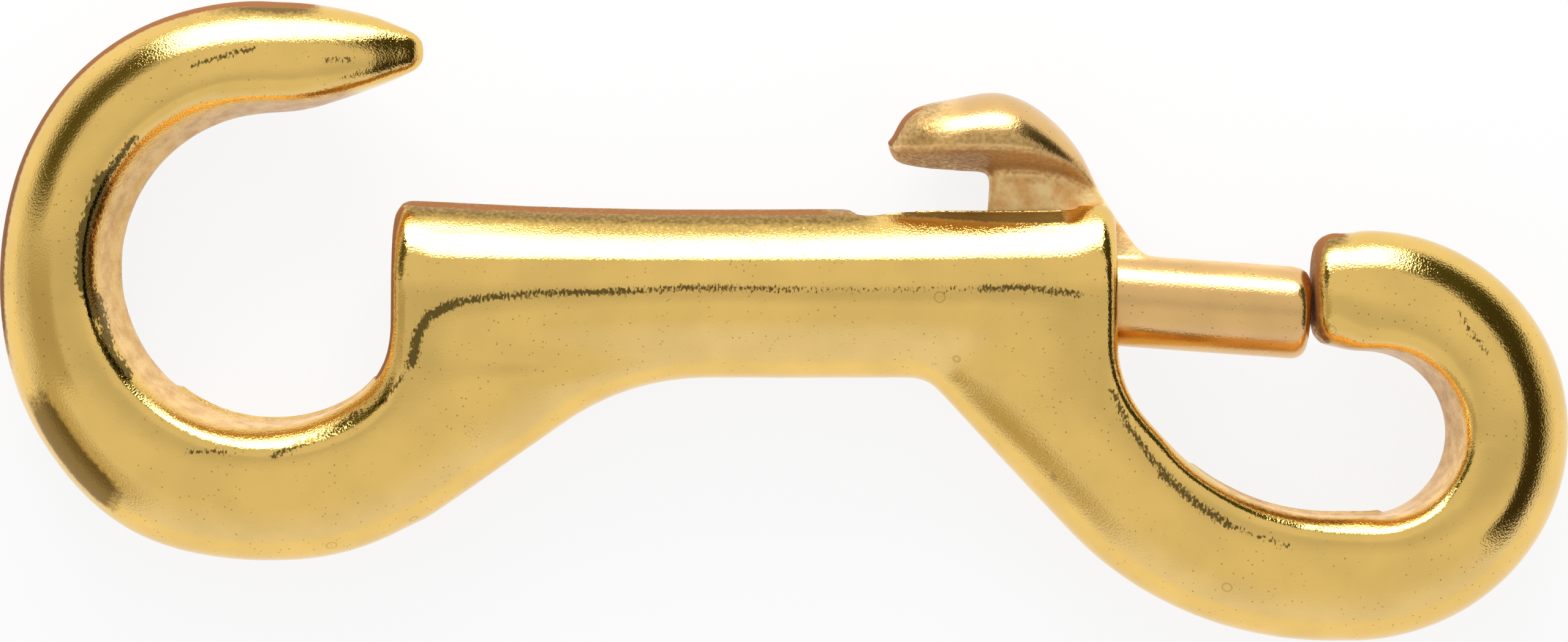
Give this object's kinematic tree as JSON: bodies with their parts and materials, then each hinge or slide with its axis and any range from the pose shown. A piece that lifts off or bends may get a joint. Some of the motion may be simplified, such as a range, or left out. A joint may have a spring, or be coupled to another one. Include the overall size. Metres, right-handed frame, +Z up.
{
  "type": "bolt snap",
  "caption": "Solid brass bolt snap: a rigid open hook at one end and, at the other, a hook closed by a spring bolt with a thumb lever.",
  "frame": {"origin": "under the middle of the snap as it lies on its flat side, at its lowest point", "axes": "+X runs along the barrel from the open hook to the bolt's hook, +Y is the thumb lever's side, +Z is up out of the side it lies on"},
  "size_m": [0.1094, 0.0446, 0.0106],
  "materials": {
    "body_brass": "polished over a casting, rough inside the hooks",
    "bolt_brass": "satin, worn; the lever's cap polished and its web rough cast",
    "spring_steel": "drawn wire"
  },
  "bodies": {
    "body": {"snap_body": "body_brass", "spring": "spring_steel"},
    "bolt": {"bolt": "bolt_brass"}
  },
  "joints": [
    {"name": "bolt_slide", "type": "slide", "parent": "body", "child": "bolt", "axis": [-0.9974, 0.0715, 0], "range_m": [0, 0.008], "stiffness_N_per_m": 250, "springref_m": -0.012, "deforming": ["spring"]}
  ]
}
